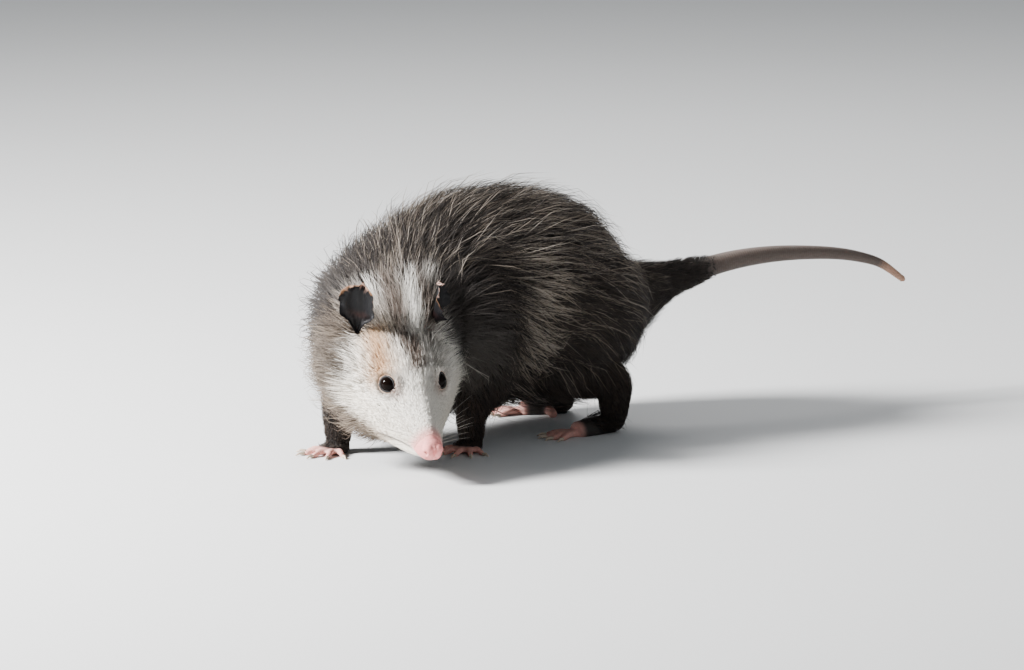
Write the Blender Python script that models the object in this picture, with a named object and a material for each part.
"""A Virginia opossum, life size, walking with its back arched and its lowered head turned to its left.

Lengths in the tables are millimetres and become metres through MM. The animal faces -Y and its left
side is +X. The working origin is the point on the floor under the tip of the nose. The last step
moves the finished pieces so that the origin is the middle of the floor under the whole animal.
"""

import math

import bmesh
import bpy
import numpy as np
from mathutils import Matrix, Vector
from mathutils.bvhtree import BVHTree

MM = 0.001
GAP = 0.3 * MM
UP = Vector((0, 0, 1))

# Head: the way it points in plan, how far it is lowered, and the height of the nose.
HEAD_PLAN = Vector((0.927, -0.375, 0)).normalized()
HEAD_PITCH = math.radians(33)
NOSE = Vector((2, 2, 22.5)) * MM
NOSE_CUT = 6.5
NECK_CUT = 104
NECK_CUT_WAY = (-0.80, 0.55, 0.2)

# Head sections: distance behind the nose, half width, height above and depth below the axis, and the
# level of the widest part.
HEAD_SECTIONS = [
    (1, 6.5, 6.5, 8.0, -1),
    (6, 9.4, 8.0, 11.5, -2),
    (14, 11.4, 10.0, 16.0, -4),
    (24, 14.6, 13.0, 22.0, -7),
    (35, 19.5, 17.0, 28.0, -10),
    (46, 26.0, 21.5, 33.0, -12),
    (56, 32.0, 27.5, 37.0, -12),
    (66, 38.0, 31.5, 39.5, -10),
    (78, 44.5, 35.0, 41.5, -7),
    (92, 48.0, 36.5, 42.5, -5),
    (106, 47.0, 36.5, 43.0, -5),
    (122, 41.0, 34.0, 40.0, -5),
]

# How boxy the head is: a ridged forehead that rounds off behind the cheeks, and a round underside.
HEAD_RIDGE = 1.65
HEAD_ROUND = 2.1
RIDGE_ENDS = 66
RIDGE_FADE = 40
HEAD_RINGS = 26
HEAD_SIDES = 32

# Trunk, from the back of the head to the root of the tail: centre x, y, z, then the skin's half width,
# height above and depth below that centre, and the depth of the coat as it lies.
TRUNK_STATIONS = [
    (-70, 31, 86, 34, 24, 32, 12),
    (-94, 48, 96, 39, 30, 42, 18),
    (-110, 68, 99, 41, 37, 48, 22),
    (-120, 91, 98, 41, 46, 52, 22),
    (-126, 120, 98, 46, 55, 54, 21),
    (-126, 151, 100, 50, 60, 57, 22),
    (-121, 181, 99, 53, 60, 56, 22),
    (-114, 210, 96, 54, 56, 52, 22),
    (-105, 236, 92, 49, 46, 44, 20),
    (-98, 256, 92, 35, 27, 32, 15),
    (-89, 274, 95, 21, 13, 19, 10),
    (-81, 290, 100, 13, 10, 13, 7),
    (-77, 305, 102, 9, 9, 9, 5),
]
TRUNK_RINGS = 34
CORE_SHARE = 0.45
NECK_END_STATION = 2.6
TAIL_ROOT_STATION = 10.6

# Tail centreline and radius of the skin.
TAIL_STATIONS = [
    (-86, 279, 98, 10.5),
    (-81, 290, 100, 9.8),
    (-70, 336, 108.5, 7.8),
    (-63, 361, 113, 7.1),
    (-48, 421, 114.5, 5.3),
    (-34.5, 471, 107.5, 3.9),
    (-30.5, 488, 102, 3.3),
    (-25, 513, 85.5, 2.1),
]
TAIL_SIDES = 10
TAIL_FUR = 4.0
TAIL_FUR_LENGTH = 78
TAIL_TIP_LENGTH = 185
FURRED_OVERLAP = 12
FURRED_RINGS = 14
FUR_ENDS_AT_RING = 11
TAIL_RINGS = 14
TIP_RINGS = 9

# Eyes and ears in the head's own directions: distance behind the nose, out to the side, above the axis.
EYE_PLACE = (58, 20.6, 16.0)
EYE_RADIUS = 6.2
EYE_AIM = (-0.50, 0.66, 0.56)
EYE_SET = 3.4
LID_AHEAD = 3.0
LID_RADIUS = 5.6
LID_THICKNESS = 1.3
EAR_LENGTH = 47
EAR_HALF_WIDTH = 14.5
EAR_DEPTH = 9
EAR_WALL = 1.4
EAR_SINK = 0.2
EAR_COLUMNS = 10
EAR_ROWS = 7
EAR_FLATTER_TIP = 0.45
EAR_RAGGED = 0.05
EAR_WAVES = 7
EAR_WIDTHS = ((0, 0.15, 0.35, 0.55, 0.75, 0.9, 1), (0.42, 0.55, 0.85, 1.0, 0.98, 0.78, 0.48))
EAR_CURLS = ((0, 0.2, 0.5, 0.8, 1), (2.0, 1.6, 1.05, 0.8, 0.6))
# For each ear: its place in the head, how far it is turned out from straight ahead, and how far it
# leans out and back.
EARS = {
    "left": ((100, 28, 28), math.radians(66), -0.09, 0.12),
    "right": ((100, -35, 22), math.radians(38), 0.0, 0.30),
}

# Nose and mouth: lobes of the pad (place and radii), and how the line of the mouth runs.
NOSE_LOBES = [
    (3.8, 3.5, 0.8, (5.0, 5.0, 5.8)),
    (3.2, 0, -2.4, (4.0, 3.6, 5.6)),
    (6.8, 0, 0.5, (5.8, 7.8, 7.2)),
]
# Nostrils: the round hole and the slit that curls out of it, each a place and its radii.
NOSTRIL_AIM = (-0.75, 0.66, 0.1)
NOSTRIL_PLACE = (0.3, 5.0, 0.8)
NOSTRIL_RADII = (3.2, 1.1, 1.8)
SLIT_PLACE = (0.3, 6.6, -0.2)
SLIT_RADII = (2.6, 1.8, 0.8)
MOUTH_FRONT = 17
MOUTH_ROUND = 0.4
MOUTH_CORNER = 44
MOUTH_LEVEL = -6.5
MOUTH_DROP = 13
MOUTH_GROOVE = 0.8

# Legs: which way the shoulders and the hips point, and the middle of each sole in plan.
FORE_HEADING = Vector((0.295, -0.955, 0)).normalized()
HIND_HEADING = Vector((-0.364, -0.931, 0)).normalized()
SHOULDER_CENTRE = Vector((-120, 94, 88))
HIP_CENTRE = Vector((-104, 234, 84))
SHOULDER_HALF_SPREAD = 38
HIP_HALF_SPREAD = 31
FORE_SOLES = {"right": Vector((-137, 31, 0)), "left": Vector((-76, 106, 0))}
HIND_SOLES = {"right": Vector((-148, 243, 0)), "left": Vector((-62, 214, 0))}
WRIST_HEIGHT = 15
WRIST_BEHIND = 5
ANKLE_HEIGHT = 21
ANKLE_BEHIND = 20
ELBOW_SHARE = 0.42
ELBOW_BEHIND = 14
ELBOW_HEIGHT = 52
ELBOW_OUT = 8
KNEE_SHARE = 0.45
KNEE_AHEAD = 20
KNEE_HEIGHT = 55
KNEE_OUT = 6
SHIN_OVER_FOOT = 14
SHIN_IN_FOOT = 6
LEG_TOP = 47
COLUMN_HALF_LENGTH = 17
COLUMN_HALF_WIDTH = 19
SHOULDER_RADII = (30, 20, 38)
HAUNCH_RADII = (35, 25, 42)
FORELEG_RADII = (20, 17, 13.5, 9.5, 8.0)
HINDLEG_RADII = (26, 23, 17, 11.5, 9.0)
FORELEG_COAT = (16, 16, 10, 3, 1)
HINDLEG_COAT = (6, 8, 8, 3, 1)
FORE_SPLAY = math.radians(8)
HIND_SPLAY = math.radians(14)

# Feet, in millimetres: toe angles, lengths, and thickness at the root and the end; claws beyond them.
FORE_TOES = [
    (-56, 13, 2.9, 2.1),
    (-27, 16, 3.0, 2.2),
    (0, 17, 3.1, 2.2),
    (27, 16, 3.0, 2.2),
    (54, 13, 2.9, 2.1),
]
HIND_TOES = [(-30, 16, 3.2, 2.4), (-12, 18, 3.3, 2.4), (6, 18, 3.3, 2.4), (25, 16, 3.2, 2.4)]
THUMB = (100, 15, 4.0, 3.4)
THUMB_BEHIND = 6
TOE_IN_FOOT = 5
KNUCKLE_RISE = 1.2
CLAW_LENGTH = 5.0
CLAW_RADIUS = 1.1
CLAW_POINT = 0.4
CLAW_RISE = 0.8
# Palm and sole: stations ahead of the middle of the foot, above the floor, and radius.
PALM_RADII = (11, 10, 5.5)
PALM_HEIGHT = 3.5
WRIST = ((-2, 4, 8), (-5, 9, 7.4), (-5, WRIST_HEIGHT + 2, 8))
HIND_SOLE = ((-22, 5, 6.5), (0, 4.5, 8.5), (12, 3.5, 8))
ANKLE = ((-19, 6, 7.5), (-20, 12, 8), (-20, ANKLE_HEIGHT + 2, 9))
FORE_TOES_AHEAD = 0
HIND_TOES_AHEAD = 10
TOE_ROOT_HEIGHT = 3
FORE_TOES_START = 3
HIND_TOES_START = 2

# Coat: how long, wide and thick one lock is, how deep it is rooted, and how the locks are spaced.
LOCK_LENGTH = 46
LOCK_WIDTH = 21
LOCK_THICKNESS = 2.2
LOCK_SINK = 4.0
LOCK_SEGMENTS = 3
LOCK_PROFILE = (0.75, 1.0, 0.78)
LOCK_TOP_SHARE = 0.6
LOCK_STEPS = 3
LOCK_FOLLOW = 1.5
ROW_SPACING = 24
LOCK_SPACING = 24
ROOT_BEHIND_CUT = 6
ROOT_BEFORE_CUT = 11
ROOT_SLACK = 0.5
LOCK_DROOP = 0.45
LOCK_SPREAD = 0.16
LAST_ROW_BEFORE_TAIL = 34
RAY_START = 0.15
# Head locks: rows of distance behind the nose, first and last angle round the head, and how many.
HEAD_ROWS = ((70, 100, 150, 3), (70, -150, -100, 3), (84, -160, 160, 16), (98, -160, 160, 16))
HEAD_LOCK_LENGTH = 30
HEAD_LOCK_WIDTH = 17
HEAD_LOCK_RISE = 10
JOWL_OUT = 0.45
JOWL_DOWN = 0.35
LOCK_BEND = 0.012
LOCK_SWING = 0.12
FLAT_SHARE = 0.45
FULL_DEPTH = 30
LOWEST_ROOT = 26
LOWEST_TIP = 2
LOCK_CLEARANCE = GAP + 0.1 * MM
SHORTER = (1.0, 0.75, 0.55)
SEED = 8
LOCKED = ("head", "neck", "torso", "tail_root")

CORE_VOXEL = 2.4 * MM
FOOT_VOXEL = 1.0 * MM
NOSE_VOXEL = 0.6 * MM
NOSE_FACES = 200
SOLE_TRIM = 1.0
CORE_FACES = 3000
FOOT_FACES = 320

COLOURS = {
    "face_fur": ((0.86, 0.80, 0.72), 0.8),
    "grey_coat": ((0.25, 0.22, 0.20), 0.85),
    "dark_coat": ((0.07, 0.06, 0.06), 0.85),
    "ear_skin": ((0.03, 0.03, 0.035), 0.55),
    "nose_skin": ((0.85, 0.45, 0.42), 0.4),
    "eye": ((0.01, 0.008, 0.008), 0.05),
    "foot_skin": ((0.07, 0.05, 0.05), 0.6),
    "tail_skin": ((0.35, 0.29, 0.25), 0.6),
}
SLOTS = {
    "head": "face_fur",
    "neck": "grey_coat",
    "torso": "grey_coat",
    "tail_root": "dark_coat",
    "foreleg": "dark_coat",
    "hindleg": "dark_coat",
    "forefoot": "foot_skin",
    "hindfoot": "foot_skin",
    "ear": "ear_skin",
    "eye": "eye",
    "nose_pad": "nose_skin",
    "tail_middle": "tail_skin",
    "tail_tip": "tail_skin",
}


def clear_scene():
    for obj in list(bpy.data.objects):
        bpy.data.objects.remove(obj, do_unlink=True)


def paint(obj, slot):
    colour, roughness = COLOURS[slot]
    material = bpy.data.materials.get(slot) or bpy.data.materials.new(slot)
    material.use_nodes = True
    shader = material.node_tree.nodes["Principled BSDF"]
    shader.inputs["Base Color"].default_value = (*colour, 1)
    shader.inputs["Roughness"].default_value = roughness
    shader.inputs["Metallic"].default_value = 0
    obj.data.materials.clear()
    obj.data.materials.append(material)


def make_object(name, points, faces):
    """An object from points in metres and faces, with its faces turned to point out."""
    mesh = bpy.data.meshes.new(name)
    mesh.from_pydata([tuple(p) for p in points], [], [tuple(f) for f in faces])
    shell = bmesh.new()
    shell.from_mesh(mesh)
    bmesh.ops.recalc_face_normals(shell, faces=shell.faces)
    shell.to_mesh(mesh)
    shell.free()
    obj = bpy.data.objects.new(name, mesh)
    bpy.context.scene.collection.objects.link(obj)
    return obj


def settle(obj):
    """Applies every modifier of the object."""
    bpy.context.view_layer.update()
    graph = bpy.context.evaluated_depsgraph_get()
    obj.data = bpy.data.meshes.new_from_object(obj.evaluated_get(graph))
    obj.modifiers.clear()
    return obj


def join(name, objects):
    """One object that holds every face of the given ones, which are removed."""
    shell = bmesh.new()
    for obj in objects:
        obj.data.transform(obj.matrix_world)
        shell.from_mesh(obj.data)
        bpy.data.objects.remove(obj)
    mesh = bpy.data.meshes.new(name)
    shell.to_mesh(mesh)
    shell.free()
    made = bpy.data.objects.new(name, mesh)
    bpy.context.scene.collection.objects.link(made)
    return made


def keep_largest(obj):
    """Keeps only the connected surface that holds the most volume."""
    shell = bmesh.new()
    shell.from_mesh(obj.data)
    shell.faces.ensure_lookup_table()
    left = set(shell.faces)
    best, best_volume = None, -1.0
    while left:
        stack = [left.pop()]
        found = list(stack)
        while stack:
            for edge in stack.pop().edges:
                for face in edge.link_faces:
                    if face in left:
                        left.remove(face)
                        found.append(face)
                        stack.append(face)
        volume = sum(
            f.calc_area() * f.normal.dot(f.calc_center_median()) for f in found
        )
        if volume > best_volume:
            best, best_volume = set(found), volume
    extra = [f for f in shell.faces if f not in best]
    bmesh.ops.delete(shell, geom=extra, context="FACES")
    shell.to_mesh(obj.data)
    shell.free()
    return obj


def boolean(obj, operation, cutters, remove=True):
    """Joins, cuts or intersects the object with others in turn, and keeps the result."""
    for cutter in cutters:
        modifier = obj.modifiers.new(operation.title(), "BOOLEAN")
        modifier.operation = operation
        modifier.object = cutter
        settle(obj)
        if remove:
            bpy.data.objects.remove(cutter)
    return obj


def read_smooth(rows, count):
    """Rows read evenly along a smooth curve through the given rows, which start with their place."""
    rows = np.asarray(rows, float)
    steps = np.linalg.norm(np.diff(rows[:, :3], axis=0), axis=1)
    along = np.concatenate([[0], np.cumsum(steps)])
    slopes = np.gradient(rows, along, axis=0)
    at = np.linspace(0, along[-1], count)
    k = np.clip(np.searchsorted(along, at, side="right") - 1, 0, len(rows) - 2)
    span = (along[k + 1] - along[k])[:, None]
    t = (at - along[k])[:, None] / span
    start = (2 * t**3 - 3 * t**2 + 1) * rows[k] + (t**3 - 2 * t**2 + t) * span * slopes[k]
    end = (3 * t**2 - 2 * t**3) * rows[k + 1] + (t**3 - t**2) * span * slopes[k + 1]
    return start + end


def loft(name, rings):
    """A closed skin over rings of equally many points, each end closed by a fan."""
    rings = np.asarray(rings)
    count, around = rings.shape[:2]
    points = np.concatenate([rings.reshape(-1, 3), [rings[0].mean(0), rings[-1].mean(0)]])
    faces = []
    for i in range(count - 1):
        for j in range(around):
            k = (j + 1) % around
            faces.append((i * around + j, i * around + k, (i + 1) * around + k, (i + 1) * around + j))
    for j in range(around):
        k = (j + 1) % around
        faces.append((j, k, count * around))
        faces.append(((count - 1) * around + j, (count - 1) * around + k, count * around + 1))
    return make_object(name, points, faces)


def section(centre, side, up, half_width, above, below, level=0.0, sides=28, square=(2.2, 2.2)):
    """One rounded cross-section, whose widest part lies at a level above or below the centre.

    The two numbers of square say how boxy the upper and the lower half are: 2 is an ellipse and less
    is a ridge.
    """
    turn = np.linspace(0, 2 * np.pi, sides, endpoint=False)
    high = np.sin(turn) >= 0
    power = np.where(high, 2 / square[0], 2 / square[1])
    across = np.sign(np.cos(turn)) * np.abs(np.cos(turn)) ** power * half_width
    height = np.abs(np.sin(turn)) ** power
    height = np.where(high, level + height * (above - level), level - height * (below + level))
    centre, side, up = (np.array(v, float) for v in (centre, side, up))
    return centre + across[:, None] * side + height[:, None] * up


def directions_along(places):
    """For each place on a centreline: the way it runs, its left side and its upper side."""
    ways = [Vector(way).normalized() for way in np.gradient(places, axis=0)]
    left = ways[0].cross(UP if abs(ways[0].z) < 0.8 else Vector((0, 1, 0)))
    found = []
    for ahead in ways:
        if abs(ahead.z) < 0.8:
            level = ahead.cross(UP)
            left = level if level.dot(left) > 0 else -level
        left = (left - ahead * left.dot(ahead)).normalized()
        found.append((ahead, left, left.cross(ahead)))
    return found


def tube(name, stations, sides=14, count=12):
    """A round closed tube through stations of x, y, z and radius in millimetres."""
    rows = read_smooth(stations, count)
    rings = []
    for row, (_, left, up) in zip(rows, directions_along(rows[:, :3])):
        rings.append(section(row[:3] * MM, left, up, *[row[3] * MM] * 3, sides=sides, square=(2, 2)))
    return loft(name, rings)


def ellipsoid(name, centre, radii, axes, fineness=3):
    """A closed ellipsoid with its three radii along the given directions."""
    shell = bmesh.new()
    bmesh.ops.create_icosphere(shell, subdivisions=fineness, radius=1)
    basis = np.array([list(a) for a in axes]).T @ np.diag(radii)
    points = [np.array(centre) + basis @ np.array(v.co) for v in shell.verts]
    faces = [[v.index for v in f.verts] for f in shell.faces]
    shell.free()
    return make_object(name, np.array(points) * MM, faces)


def box(name, centre, axes, half_sizes):
    """A box with its middle at centre and its half sizes along the given directions, in metres."""
    corners = []
    for a in (-1, 1):
        for b in (-1, 1):
            for c in (-1, 1):
                across = axes[0] * a * half_sizes[0] + axes[1] * b * half_sizes[1]
                corners.append(Vector(centre) + (across + axes[2] * c * half_sizes[2]))
    faces = [(0, 1, 3, 2), (4, 6, 7, 5), (0, 4, 5, 1), (2, 3, 7, 6), (0, 2, 6, 4), (1, 5, 7, 3)]
    return make_object(name, corners, faces)


def half_space(name, point, normal):
    """A large box that holds everything on the side of the plane that its normal points to."""
    normal = normal.normalized()
    side = normal.orthogonal().normalized()
    reach = 0.4
    return box(name, point + normal * reach, (side, normal.cross(side), normal), (reach, reach, reach))


# The head's own directions.
HEAD_BACK = (-HEAD_PLAN * math.cos(HEAD_PITCH) + UP * math.sin(HEAD_PITCH)).normalized()
HEAD_LEFT = UP.cross(HEAD_PLAN).normalized()
HEAD_UP = HEAD_LEFT.cross(HEAD_BACK).normalized()


def head_point(back, left, up):
    """A place in the head, in metres, from millimetres behind the nose, to the left and above its axis."""
    return NOSE + (HEAD_BACK * back + HEAD_LEFT * left + HEAD_UP * up) * MM


def trunk_rows(count, coat_share):
    """Trunk stations read smoothly, with a share of the coat's depth added to the skin's sizes."""
    rows = read_smooth(TRUNK_STATIONS, count)
    rows[:, 3:6] += rows[:, 6:7] * coat_share
    return rows


def station_place(station):
    """The place and direction of the trunk's centreline at a station number that may lie between two."""
    k = int(station)
    t = station - k
    here, there = (Vector(TRUNK_STATIONS[k + i][:3]) for i in (0, 1))
    return here.lerp(there, t) * MM, (there - here).normalized()


def head_mass():
    rows = []
    for back, width, above, below, level in HEAD_SECTIONS:
        rows.append((back, 0, 0, width, above, below, level))
    rings = []
    for back, _, _, width, above, below, level in read_smooth(rows, HEAD_RINGS):
        centre = head_point(back, 0, 0)
        sizes = [v * MM for v in (width, above, below, level)]
        rounded = min(1, max(0, (back - RIDGE_ENDS) / RIDGE_FADE))
        square = (HEAD_RIDGE + (HEAD_ROUND - HEAD_RIDGE) * rounded, HEAD_ROUND)
        rings.append(section(centre, HEAD_LEFT, HEAD_UP, *sizes, sides=HEAD_SIDES, square=square))
    return loft("head_mass", rings)


def trunk_mass():
    rows = trunk_rows(TRUNK_RINGS, CORE_SHARE)
    rings = []
    for row, (_, left, up) in zip(rows, directions_along(rows[:, :3])):
        rings.append(section(row[:3] * MM, left, up, row[3] * MM, row[4] * MM, row[5] * MM))
    return loft("trunk_mass", rings)


def remeshed(name, masses, voxel, smoothing):
    """The masses melted into one closed skin."""
    obj = join(name, masses)
    remesh = obj.modifiers.new("Melt", "REMESH")
    remesh.mode = "VOXEL"
    remesh.voxel_size = voxel
    smooth = obj.modifiers.new("Smooth", "SMOOTH")
    smooth.factor = 0.5
    smooth.iterations = smoothing
    return settle(obj)


def thinned(obj, faces):
    """Cuts the number of triangles down to about faces."""
    obj.data.calc_loop_triangles()
    thin = obj.modifiers.new("Thin", "DECIMATE")
    thin.ratio = min(1.0, faces / len(obj.data.loop_triangles))
    thin.use_collapse_triangulate = True
    return settle(obj)


def copy_of(obj, name):
    made = bpy.data.objects.new(name, obj.data.copy())
    bpy.context.scene.collection.objects.link(made)
    return made


def leg_frames():
    """For each leg: heading, outward side, joint, knee or elbow, wrist or ankle, and sole."""
    frames = {}
    for side, sign in (("left", 1), ("right", -1)):
        out = UP.cross(FORE_HEADING) * sign
        joint = SHOULDER_CENTRE + out * SHOULDER_HALF_SPREAD
        sole = FORE_SOLES[side]
        bend = joint.lerp(sole, ELBOW_SHARE) - FORE_HEADING * ELBOW_BEHIND + out * ELBOW_OUT
        bend.z = ELBOW_HEIGHT
        wrist = sole - FORE_HEADING * WRIST_BEHIND
        frames[f"foreleg_{side}"] = (FORE_HEADING, out, joint, bend, wrist, sole)

        out = UP.cross(HIND_HEADING) * sign
        joint = HIP_CENTRE + out * HIP_HALF_SPREAD
        sole = HIND_SOLES[side]
        bend = joint.lerp(sole, KNEE_SHARE) + HIND_HEADING * KNEE_AHEAD + out * KNEE_OUT
        bend.z = KNEE_HEIGHT
        ankle = sole - HIND_HEADING * ANKLE_BEHIND
        frames[f"hindleg_{side}"] = (HIND_HEADING, out, joint, bend, ankle, sole)
    return frames


def limb_masses():
    """Shoulders, haunches and the four legs down to the wrists and ankles."""
    masses = []
    for name, (heading, out, joint, bend, end, _) in leg_frames().items():
        fore = name.startswith("foreleg")
        low = WRIST_HEIGHT if fore else ANKLE_HEIGHT
        radii = FORELEG_RADII if fore else HINDLEG_RADII
        top = SHOULDER_RADII if fore else HAUNCH_RADII
        coats = FORELEG_COAT if fore else HINDLEG_COAT
        top = [radius + coats[0] * CORE_SHARE for radius in top]
        radii = [radius + coat * CORE_SHARE for radius, coat in zip(radii, coats)]
        masses.append(ellipsoid("upper", joint, top, (heading, out, UP)))
        places = [joint, joint.lerp(bend, 0.5), bend]
        places += [end + UP * (low + SHIN_OVER_FOOT), end + UP * (low - SHIN_IN_FOOT)]
        masses.append(tube(name, [(*place, radius) for place, radius in zip(places, radii)]))
    return masses


def tail_rows(first, last, count):
    """Centreline and radius of the tail between two lengths in millimetres behind its root."""
    rows = read_smooth(TAIL_STATIONS, 200)
    along = np.concatenate([[0], np.cumsum(np.linalg.norm(np.diff(rows[:, :3], axis=0), axis=1))])
    last = min(last, along[-1])
    at = np.linspace(first, last, count)
    return np.array([[np.interp(v, along, rows[:, k]) for k in range(4)] for v in at])


def tail_length():
    rows = read_smooth(TAIL_STATIONS, 200)
    return float(np.linalg.norm(np.diff(rows[:, :3], axis=0), axis=1).sum())


def furred_tail_mass():
    """The root of the tail with its fur, which thins out to the bare skin."""
    rows = tail_rows(0, TAIL_FUR_LENGTH + FURRED_OVERLAP, FURRED_RINGS)
    fur = np.clip(1 - np.arange(FURRED_RINGS) / FUR_ENDS_AT_RING, 0, 1)
    rows[:, 3] += TAIL_FUR * fur * CORE_SHARE
    return tube("furred_tail", rows, TAIL_SIDES + 4, FURRED_RINGS)


def bare_tail(name, first, last, count):
    """A bare length of the tail, closed at both ends, blunt where it ends the tail."""
    rows = tail_rows(first, last, count)
    return tube(name, rows, TAIL_SIDES, count)


def cut_planes():
    """Where the head, the neck, the body and the tail part: a point and the direction towards the tail."""
    neck = head_point(NECK_CUT, 0, 0)
    body, body_way = station_place(NECK_END_STATION)
    tail, tail_way = station_place(TAIL_ROOT_STATION)
    rows = tail_rows(TAIL_FUR_LENGTH - 1, TAIL_FUR_LENGTH + 1, 3)
    bare = Vector(rows[1, :3]) * MM
    bare_way = Vector(rows[2, :3] - rows[0, :3]).normalized()
    return {
        "neck": (neck, Vector(NECK_CUT_WAY).normalized()),
        "body": (body, body_way),
        "tail": (tail, tail_way),
        "bare": (bare, bare_way),
    }


def ahead_of(plane):
    point, way = plane
    return half_space("ahead", point - way * GAP / 2, -way)


def behind(plane):
    point, way = plane
    return half_space("behind", point + way * GAP / 2, way)


def leg_column(name, grow=0.0):
    """The block that holds a leg from the floor up to where it leaves the body."""
    heading, out, _, bend, end, _ = leg_frames()[name]
    middle = (bend + end) / 2
    length = abs((bend - end).dot(heading)) / 2 + COLUMN_HALF_LENGTH
    width = abs((bend - end).dot(out)) / 2 + COLUMN_HALF_WIDTH
    middle.z = LEG_TOP / 2
    sizes = (length * MM + grow, width * MM + grow, LEG_TOP / 2 * MM + grow)
    return box("column", middle * MM, (heading, out, UP), sizes)


def carved(name, core, keep, drop):
    """The part of the core inside every kept shape and outside every dropped one."""
    obj = copy_of(core, name)
    boolean(obj, "INTERSECT", keep)
    boolean(obj, "DIFFERENCE", drop)
    return keep_largest(obj)


def part_core(core):
    """Parts the body into head, neck, torso, legs and the furred root of the tail."""
    planes = cut_planes()
    legs = list(leg_frames())
    pieces = {}
    forelegs = [name for name in legs if name.startswith("foreleg")]
    bounds = {
        "head": ([ahead_of(planes["neck"]), behind(nose_plane())], ["foreleg_right"]),
        "neck": ([behind(planes["neck"]), ahead_of(planes["body"])], forelegs),
        "torso": ([behind(planes["body"]), ahead_of(planes["tail"])], legs),
        "tail_root": ([behind(planes["tail"]), ahead_of(planes["bare"])], []),
    }
    for name, (keep, near_legs) in bounds.items():
        pieces[name] = carved(name, core, keep, [leg_column(leg, GAP) for leg in near_legs])
    for name in legs:
        height = WRIST_HEIGHT if name.startswith("foreleg") else ANKLE_HEIGHT
        above = half_space("above", Vector((0, 0, height * MM + GAP / 2)), UP)
        pieces[name] = carved(name, core, [leg_column(name), above], [])
    return pieces


def nose_plane():
    return head_point(NOSE_CUT, 0, -2), (HEAD_BACK + HEAD_UP * 0.12).normalized()


def grown(obj, distance):
    """A copy of the object with its surface moved outwards."""
    made = copy_of(obj, "grown")
    shell = bmesh.new()
    shell.from_mesh(made.data)
    shell.normal_update()
    moves = [v.normal * distance * v.calc_shell_factor() for v in shell.verts]
    for vert, move in zip(shell.verts, moves):
        vert.co += move
    shell.to_mesh(made.data)
    shell.free()
    return made


def head_direction(back, left, up):
    return (HEAD_BACK * back + HEAD_LEFT * left + HEAD_UP * up).normalized()


def eye_centre(sign):
    back, out, up = EYE_PLACE
    aim = head_direction(EYE_AIM[0], EYE_AIM[1] * sign, EYE_AIM[2])
    return head_point(back, out * sign, up) - aim * EYE_SET * MM, aim


def ring_solid(name, centre, aim, radius, thickness, sides=16, round_sides=6):
    """A closed ring around the direction aim."""
    side = aim.orthogonal().normalized()
    other = aim.cross(side)
    points, faces = [], []
    for i in range(sides):
        turn = 2 * math.pi * i / sides
        out = side * math.cos(turn) + other * math.sin(turn)
        for j in range(round_sides):
            tilt = 2 * math.pi * j / round_sides
            place = centre + out * (radius + thickness * math.cos(tilt))
            points.append(place + aim * thickness * math.sin(tilt))
            here, there = i * round_sides, ((i + 1) % sides) * round_sides
            k = (j + 1) % round_sides
            faces.append((here + j, here + k, there + k, there + j))
    return make_object(name, points, faces)


def ball(name, centre, radius, segments=12, rings=8):
    shell = bmesh.new()
    bmesh.ops.create_uvsphere(shell, u_segments=segments, v_segments=rings, radius=radius)
    bmesh.ops.translate(shell, verts=shell.verts, vec=centre)
    mesh = bpy.data.meshes.new(name)
    shell.to_mesh(mesh)
    shell.free()
    obj = bpy.data.objects.new(name, mesh)
    bpy.context.scene.collection.objects.link(obj)
    return obj


def mouth_cutter(head):
    """A thin closed tube laid along the line of the mouth on both sides of the muzzle."""
    tree = BVHTree.FromObject(head, bpy.context.evaluated_depsgraph_get())
    places = []
    for turn in np.linspace(-1, 1, 25):
        side = math.copysign(1, turn)
        along = max(0, abs(turn) - MOUTH_ROUND) / (1 - MOUTH_ROUND)
        fan = min(1, abs(turn) / MOUTH_ROUND) * math.pi / 2
        back = MOUTH_FRONT + (MOUTH_CORNER - MOUTH_FRONT) * along
        inside = head_point(back, 0, MOUTH_LEVEL - MOUTH_DROP * along)
        hit = tree.ray_cast(inside, head_direction(-math.cos(fan), math.sin(fan) * side, 0))[0]
        places.append(hit / MM)
    return tube("mouth", [(*place, MOUTH_GROOVE) for place in places], 6, 30)


def shape_head(head):
    """Cuts the mouth, raises the lids and sinks the sockets."""
    boolean(head, "DIFFERENCE", [mouth_cutter(head)])
    for sign in (1, -1):
        centre, aim = eye_centre(sign)
        lid = ring_solid("lid", centre + aim * LID_AHEAD * MM, aim, LID_RADIUS * MM, LID_THICKNESS * MM)
        boolean(head, "UNION", [lid])
        boolean(head, "DIFFERENCE", [ball("socket", centre, EYE_RADIUS * MM + GAP)])
    return keep_largest(head)


def nose_pad():
    """The bare end of the nose: two lobes with a comma-shaped nostril in each."""
    axes = (HEAD_BACK, HEAD_LEFT, HEAD_UP)
    lobes = []
    for back, left, up, radii in NOSE_LOBES:
        for sign in ((1, -1) if left else (1,)):
            lobes.append(ellipsoid("lobe", head_point(back, left * sign, up) / MM, radii, axes))
    pad = remeshed("nose_pad", lobes, NOSE_VOXEL, 2)
    boolean(pad, "INTERSECT", [ahead_of(nose_plane())])
    thinned(pad, NOSE_FACES)
    for sign in (1, -1):
        back, left, up = NOSTRIL_AIM
        aim = head_direction(back, left * sign, up)
        side = aim.cross(HEAD_UP).normalized()
        for (back, left, up), radii in ((NOSTRIL_PLACE, NOSTRIL_RADII), (SLIT_PLACE, SLIT_RADII)):
            place = head_point(back, left * sign, up) / MM
            hole = ellipsoid("nostril", place, radii, (aim, side, side.cross(aim)), 2)
            boolean(pad, "DIFFERENCE", [hole])
    return keep_largest(pad)


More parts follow.
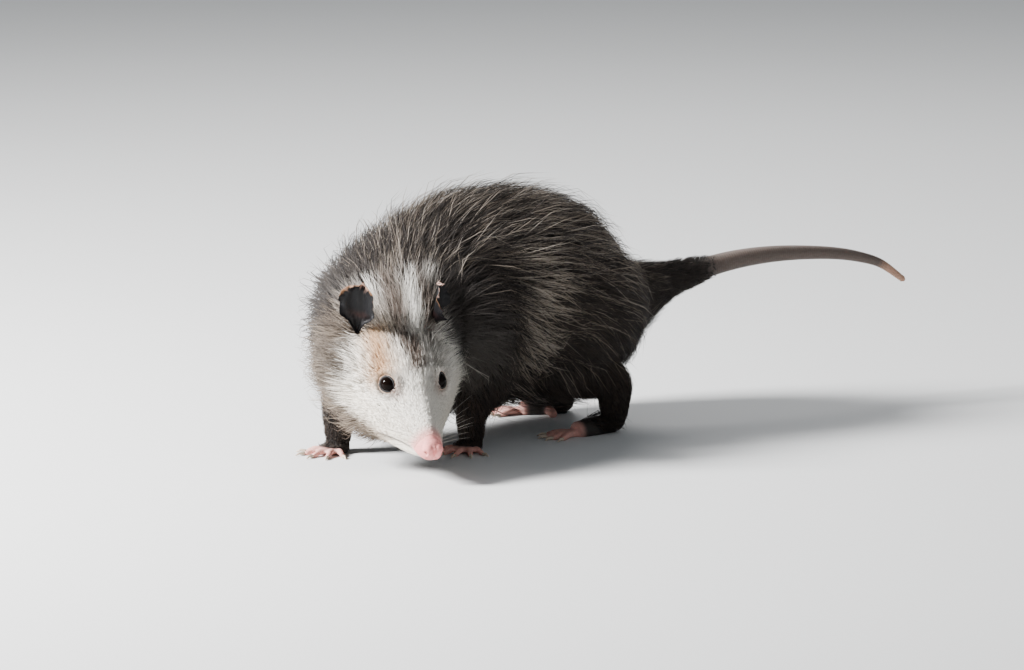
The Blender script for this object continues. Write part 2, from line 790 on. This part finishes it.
def ear_axes(side, sign):
    """Where an ear is set, across it, the way its cup opens, and the way it rises."""
    place, opened, lean_out, lean_back = EARS[side]
    opening = (HEAD_LEFT * sign * math.sin(opened) - HEAD_BACK * math.cos(opened)).normalized()
    rise = (HEAD_UP + HEAD_LEFT * sign * lean_out + HEAD_BACK * lean_back).normalized()
    opening = (opening - rise * opening.dot(rise)).normalized()
    return head_point(*place), rise.cross(opening), opening, rise


def ear_point(share, across, wall, sign):
    """A place on a wall of the ear, from its foot to its tip and from edge to edge, in its own axes."""
    half = np.interp(share, *EAR_WIDTHS) * EAR_HALF_WIDTH
    curl = np.interp(share, *EAR_CURLS)
    radius = half / math.sin(min(curl, math.pi / 2))
    ragged = 1 + EAR_RAGGED * math.sin(EAR_WAVES * across + 2 * sign) * share
    turn = across * curl
    depth = -EAR_DEPTH * (1 - EAR_FLATTER_TIP * share) + radius - (radius - wall) * math.cos(turn)
    return (radius - wall) * math.sin(turn), depth, EAR_LENGTH * (share - EAR_SINK) * ragged


def sheet_faces():
    """Faces of the two walls of an ear and of the edge that joins them."""
    def at(wall, i, j):
        return (wall * (EAR_ROWS + 1) + i) * (EAR_COLUMNS + 1) + j

    faces = []
    for i in range(EAR_ROWS):
        for j in range(EAR_COLUMNS):
            for wall in (0, 1):
                near_edge = [at(wall, i, j), at(wall, i, j + 1)]
                faces.append(near_edge + [at(wall, i + 1, j + 1), at(wall, i + 1, j)])
    for i in range(EAR_ROWS):
        for j in (0, EAR_COLUMNS):
            faces.append([at(0, i, j), at(0, i + 1, j), at(1, i + 1, j), at(1, i, j)])
    for j in range(EAR_COLUMNS):
        for i in (0, EAR_ROWS):
            faces.append([at(0, i, j), at(0, i, j + 1), at(1, i, j + 1), at(1, i, j)])
    return faces


def ear(side, sign, neighbours):
    """A thin leaf curled into a cup that opens outwards, with a ragged edge, set into the head."""
    base, across_way, opening, rise = ear_axes(side, sign)
    points = []
    for wall in (0.0, EAR_WALL):
        for i in range(EAR_ROWS + 1):
            for j in range(EAR_COLUMNS + 1):
                x, y, z = ear_point(i / EAR_ROWS, 2 * j / EAR_COLUMNS - 1, wall, sign)
                points.append(base + (across_way * x + opening * y + rise * z) * MM)
    obj = make_object(f"ear_{side}", points, sheet_faces())
    boolean(obj, "DIFFERENCE", neighbours)
    return keep_largest(obj)


def foot_directions(name):
    heading, out = leg_frames()[name][:2]
    splay = FORE_SPLAY if name.startswith("foreleg") else HIND_SPLAY
    ahead = (heading * math.cos(splay) + out * math.sin(splay)).normalized()
    return ahead, (out - ahead * out.dot(ahead)).normalized()


def toe(base, way, length, thick, thin, claw):
    """A toe with a raised middle joint, and a curved claw when it has one."""
    joint = base + way * length * 0.5 + UP * KNUCKLE_RISE
    end = base + way * length
    end.z = thin - 0.3
    masses = [tube("toe", [(*base, thick), (*joint, (thick + thin) / 2), (*end, thin)], 10, 6)]
    if claw:
        start = end + UP * 0.6
        tip = end + way * (thin + CLAW_LENGTH) - UP * (end.z - 0.5)
        middle = start.lerp(tip, 0.55) + UP * CLAW_RISE
        stations = [(*start, CLAW_RADIUS * 1.3), (*middle, CLAW_RADIUS), (*tip, CLAW_POINT)]
        masses.append(tube("claw", stations, 8, 5))
    return masses


def foot_tube(name, stations, sole, ahead, heading, sides, count):
    """A rounded part of the foot, whose first place is along the foot and the others along the leg."""
    rows = []
    for k, (forward, height, radius) in enumerate(stations):
        way = ahead if k == 0 or name == "sole" else heading
        rows.append((*(sole + way * forward + UP * height), radius))
    return tube(name, rows, sides, count)


def foot(name, leg_name):
    """A foot flat on the floor: palm or sole, five toes and the stub of the wrist or ankle."""
    ahead, out = foot_directions(leg_name)
    heading, sole = leg_frames()[leg_name][0], leg_frames()[leg_name][5]
    fore = leg_name.startswith("foreleg")
    if fore:
        masses = [ellipsoid("palm", sole + UP * PALM_HEIGHT, PALM_RADII, (ahead, out, UP))]
        masses.append(foot_tube("wrist", WRIST, sole, ahead, heading, 12, 6))
        toes, start = FORE_TOES, FORE_TOES_START
        root = sole + ahead * FORE_TOES_AHEAD + UP * TOE_ROOT_HEIGHT
    else:
        masses = [foot_tube("sole", HIND_SOLE, sole, ahead, heading, 14, 8)]
        masses.append(foot_tube("ankle", ANKLE, sole, ahead, heading, 12, 6))
        toes, start = HIND_TOES, HIND_TOES_START
        root = sole + ahead * HIND_TOES_AHEAD + UP * TOE_ROOT_HEIGHT
        angle, length, thick, thin = THUMB
        way = ahead * math.cos(math.radians(angle)) - out * math.sin(math.radians(angle))
        base = sole - ahead * THUMB_BEHIND + UP * PALM_HEIGHT
        masses += toe(base, way, length + THUMB_BEHIND, thick, thin, False)
    for angle, length, thick, thin in toes:
        way = ahead * math.cos(math.radians(angle)) + out * math.sin(math.radians(angle))
        masses += toe(root + way * start, way, length + TOE_IN_FOOT, thick, thin, True)
    obj = remeshed(name, masses, FOOT_VOXEL, 2)
    thinned(obj, FOOT_FACES)
    height = WRIST_HEIGHT if fore else ANKLE_HEIGHT
    below = half_space("below", Vector((0, 0, (height + SOLE_TRIM) * MM - GAP / 2)), -UP)
    above_floor = half_space("above", Vector((0, 0, SOLE_TRIM * MM)), UP)
    boolean(obj, "INTERSECT", [below, above_floor])
    obj.data.transform(Matrix.Translation((0, 0, -SOLE_TRIM * MM)))
    return keep_largest(obj)


def lock(root, way, length, width, rise, bend, tree):
    """A flat tapered lock that leaves the body at its root and follows the body's surface to its tip."""
    place, normal, _, _ = tree.find_nearest(root)
    step = length / LOCK_SEGMENTS
    points = []
    for k in range(LOCK_SEGMENTS + 1):
        way = (way - normal * way.dot(normal)).normalized()
        lift = (rise + LOCK_SINK) * math.sin(math.pi / 2 * k / LOCK_SEGMENTS) - LOCK_SINK
        centre = place + normal * lift * MM
        if k == LOCK_SEGMENTS:
            points.append(centre)
            break
        side = normal.cross(way) * width * LOCK_PROFILE[k] / 2 * MM
        thick = normal * LOCK_THICKNESS / 2 * MM
        top = side * LOCK_TOP_SHARE
        points += [centre + side - thick, centre - side - thick, centre - top + thick, centre + top + thick]
        for _ in range(LOCK_STEPS):
            way = (way + normal.cross(way) * bend * step / LOCK_STEPS).normalized()
            place, found, _, _ = tree.find_nearest(place + way * step / LOCK_STEPS * MM)
            normal = (normal + found * LOCK_FOLLOW).normalized()
            way = (way - normal * way.dot(normal)).normalized()
    faces = [(0, 3, 2, 1)]
    for k in range(LOCK_SEGMENTS - 1):
        for j in range(4):
            here, there = 4 * k + j, 4 * k + (j + 1) % 4
            faces.append((here, there, there + 4, here + 4))
    last = 4 * (LOCK_SEGMENTS - 1)
    faces += [(last + j, last + (j + 1) % 4, last + 4) for j in range(4)]
    return make_object("lock", points, faces)


def lie_of_coat(spine_way, normal):
    """The coat lies towards the tail, and on the flanks also down."""
    flank = 1 - abs(normal.z)
    return (spine_way - UP * LOCK_DROOP * flank).normalized()


def lock_roots(tree):
    """Places on the body for the locks: rows across the spine, each row shifted by half a lock."""
    rows = read_smooth(TRUNK_STATIONS, 200)
    steps = np.linalg.norm(np.diff(rows[:, :3], axis=0), axis=1)
    along = np.concatenate([[0], np.cumsum(steps)])
    body = station_place(NECK_END_STATION)[0] / MM
    start = along[np.argmin(np.linalg.norm(rows[:, :3] - np.array(body), axis=1))]
    found = []
    before = np.arange(start - ROOT_BEFORE_CUT, 0, -ROW_SPACING)
    after = np.arange(start + ROOT_BEHIND_CUT, along[-1] - LAST_ROW_BEFORE_TAIL, ROW_SPACING)
    for number, at in enumerate([*before[::-1], *after]):
        k = int(np.clip(np.searchsorted(along, at), 1, len(along) - 2))
        centre = Vector(rows[k, :3]) * MM
        spine_way = Vector(rows[k + 1, :3] - rows[k - 1, :3]).normalized()
        left = spine_way.cross(UP).normalized()
        up = left.cross(spine_way)
        around = 2 * math.pi * (rows[k, 3] + rows[k, 4] + rows[k, 6]) / 2
        count = max(6, round(around / LOCK_SPACING))
        for j in range(count):
            turn = 2 * math.pi * (j + 0.5 * (number % 2)) / count
            out = left * math.sin(turn) + up * math.cos(turn)
            hit, normal, _, _ = tree.ray_cast(centre + out * RAY_START, -out)
            if hit is not None:
                found.append((hit, lie_of_coat(spine_way, normal), rows[k, 6]))
    return found


def head_lock_roots(tree):
    """Places for the shorter locks of the cheeks and crown, which turn down and out on the jowls."""
    found = []
    for back, start, end, count in HEAD_ROWS:
        for turn in np.radians(np.linspace(start, end, count)):
            out = HEAD_LEFT * math.sin(turn) + HEAD_UP * math.cos(turn)
            hit = tree.ray_cast(head_point(back, 0, -4) + out * RAY_START, -out)[0]
            if hit is None:
                continue
            low = max(0, -math.cos(turn))
            outwards = HEAD_LEFT * math.copysign(JOWL_OUT * low, turn)
            way = (HEAD_BACK + outwards - HEAD_UP * JOWL_DOWN * low).normalized()
            found.append((hit, way, HEAD_LOCK_RISE))
    return found


def side_of(plane, place):
    """How far a place lies behind a plane, in millimetres."""
    return (place - plane[0]).dot(plane[1].normalized()) / MM


def owner_of(place):
    """The piece that a lock rooted here grows from, or none when its root would be too near a cut."""
    planes = cut_planes()
    bounds = {
        "head": (None, "neck"),
        "neck": ("neck", "body"),
        "torso": ("body", "tail"),
        "tail_root": ("tail", "bare"),
    }
    for name, (front, back) in bounds.items():
        behind_front = front is None or side_of(planes[front], place) > ROOT_BEHIND_CUT - ROOT_SLACK
        before_back = side_of(planes[back], place) < ROOT_SLACK - ROOT_BEFORE_CUT
        if behind_front and before_back:
            return name
    return None


def tree_of(obj):
    shell = bmesh.new()
    shell.from_mesh(obj.data)
    tree = BVHTree.FromBMesh(shell)
    shell.free()
    return tree


def is_closed(obj):
    shell = bmesh.new()
    shell.from_mesh(obj.data)
    closed = all(edge.is_manifold for edge in shell.edges)
    shell.free()
    return closed


def is_clear(made, name, near):
    """Whether a lock keeps off the floor and off every piece but its own."""
    own = tree_of(made)
    if min(v.co.z for v in made.data.vertices) <= LOWEST_TIP * MM:
        return False
    return not any(own.overlap(tree) for other, tree in near.items() if other != name)


def grow_lock(name, plan, rng, surface, near):
    """The lock of one plan, made shorter until it is clear of the other pieces, or none."""
    root, way, depth, length, width = plan
    size = 1 + LOCK_SPREAD * rng.uniform(-1, 1)
    bend = rng.uniform(-1, 1) * LOCK_BEND
    swing = way.orthogonal().normalized() * rng.uniform(-1, 1) * LOCK_SWING
    rise = depth * (1 - CORE_SHARE) * size
    share = min(1, FLAT_SHARE + depth / FULL_DEPTH)
    for shorter in SHORTER:
        reach = length * size * share * shorter
        made = lock(root, (way + swing).normalized(), reach, width * share, rise, bend, surface)
        if is_clear(made, name, near):
            return made
        bpy.data.objects.remove(made)
    return None


def unite(piece, locks):
    """Joins the locks to their piece in one union."""
    group = bpy.data.collections.new("locks")
    for obj in locks:
        group.objects.link(obj)
    modifier = piece.modifiers.new("Coat", "BOOLEAN")
    modifier.operation = "UNION"
    modifier.operand_type = "COLLECTION"
    modifier.collection = group
    modifier.solver = "MANIFOLD" if is_closed(piece) else "EXACT"
    settle(piece)
    for obj in locks:
        bpy.data.objects.remove(obj)
    bpy.data.collections.remove(group)
    keep_largest(piece)


def add_coat(pieces, core):
    """Grows the locks of the coat and joins each piece's own locks to it."""
    rng = np.random.default_rng(SEED)
    surface = tree_of(core)
    near = {}
    for name, obj in pieces.items():
        wide = grown(obj, LOCK_CLEARANCE)
        near[name] = tree_of(wide)
        bpy.data.objects.remove(wide)
    locks = {name: [] for name in LOCKED}
    plans = [(*place, LOCK_LENGTH, LOCK_WIDTH) for place in lock_roots(surface)]
    plans += [(*place, HEAD_LOCK_LENGTH, HEAD_LOCK_WIDTH) for place in head_lock_roots(surface)]
    for plan in plans:
        name = owner_of(plan[0])
        if name not in locks or plan[0].z < LOWEST_ROOT * MM:
            continue
        made = grow_lock(name, plan, rng, surface, near)
        if made is not None:
            locks[name].append(made)
    for name, made in locks.items():
        if made:
            unite(pieces[name], made)


def shade_smooth(obj):
    obj.data.polygons.foreach_set("use_smooth", [True] * len(obj.data.polygons))


def place_on_floor(objects):
    """Moves everything so that the origin is the middle of the floor under the animal."""
    points = [v.co for obj in objects for v in obj.data.vertices]
    low = Vector([min(p[k] for p in points) for k in range(3)])
    high = Vector([max(p[k] for p in points) for k in range(3)])
    move = Matrix.Translation((-(low.x + high.x) / 2, -(low.y + high.y) / 2, -low.z))
    for obj in objects:
        obj.data.transform(move)
    return move.translation


def main():
    clear_scene()
    masses = [head_mass(), trunk_mass(), furred_tail_mass(), *limb_masses()]
    core = remeshed("core", masses, CORE_VOXEL, 6)
    thinned(core, CORE_FACES)
    pieces = part_core(core)
    shape_head(pieces["head"])
    pieces["nose_pad"] = nose_pad()
    for side, sign in (("left", 1), ("right", -1)):
        neighbours = [grown(pieces["head"], GAP), grown(pieces["neck"], GAP)]
        pieces[f"ear_{side}"] = ear(side, sign, neighbours)
        pieces[f"eye_{side}"] = ball(f"eye_{side}", eye_centre(sign)[0], EYE_RADIUS * MM)
        for leg, end in (("foreleg", "forefoot"), ("hindleg", "hindfoot")):
            pieces[f"{end}_{side}"] = foot(f"{end}_{side}", f"{leg}_{side}")
    half_gap = GAP / MM / 2
    middle_ends = (TAIL_FUR_LENGTH + half_gap, TAIL_TIP_LENGTH - half_gap)
    pieces["tail_middle"] = bare_tail("tail_middle", *middle_ends, TAIL_RINGS)
    pieces["tail_tip"] = bare_tail("tail_tip", TAIL_TIP_LENGTH + half_gap, tail_length(), TIP_RINGS)
    add_coat(pieces, core)
    bpy.data.objects.remove(core)
    for name, obj in pieces.items():
        paint(obj, SLOTS[name.removesuffix("_left").removesuffix("_right")])
        shade_smooth(obj)
    moved = place_on_floor(list(pieces.values()))
    total = 0
    for name, obj in pieces.items():
        obj.data.calc_loop_triangles()
        total += len(obj.data.loop_triangles)
        print(name, len(obj.data.loop_triangles))
    print("triangles", total, "moved", [round(v / MM, 1) for v in moved])
    return moved


SHIFT = main()
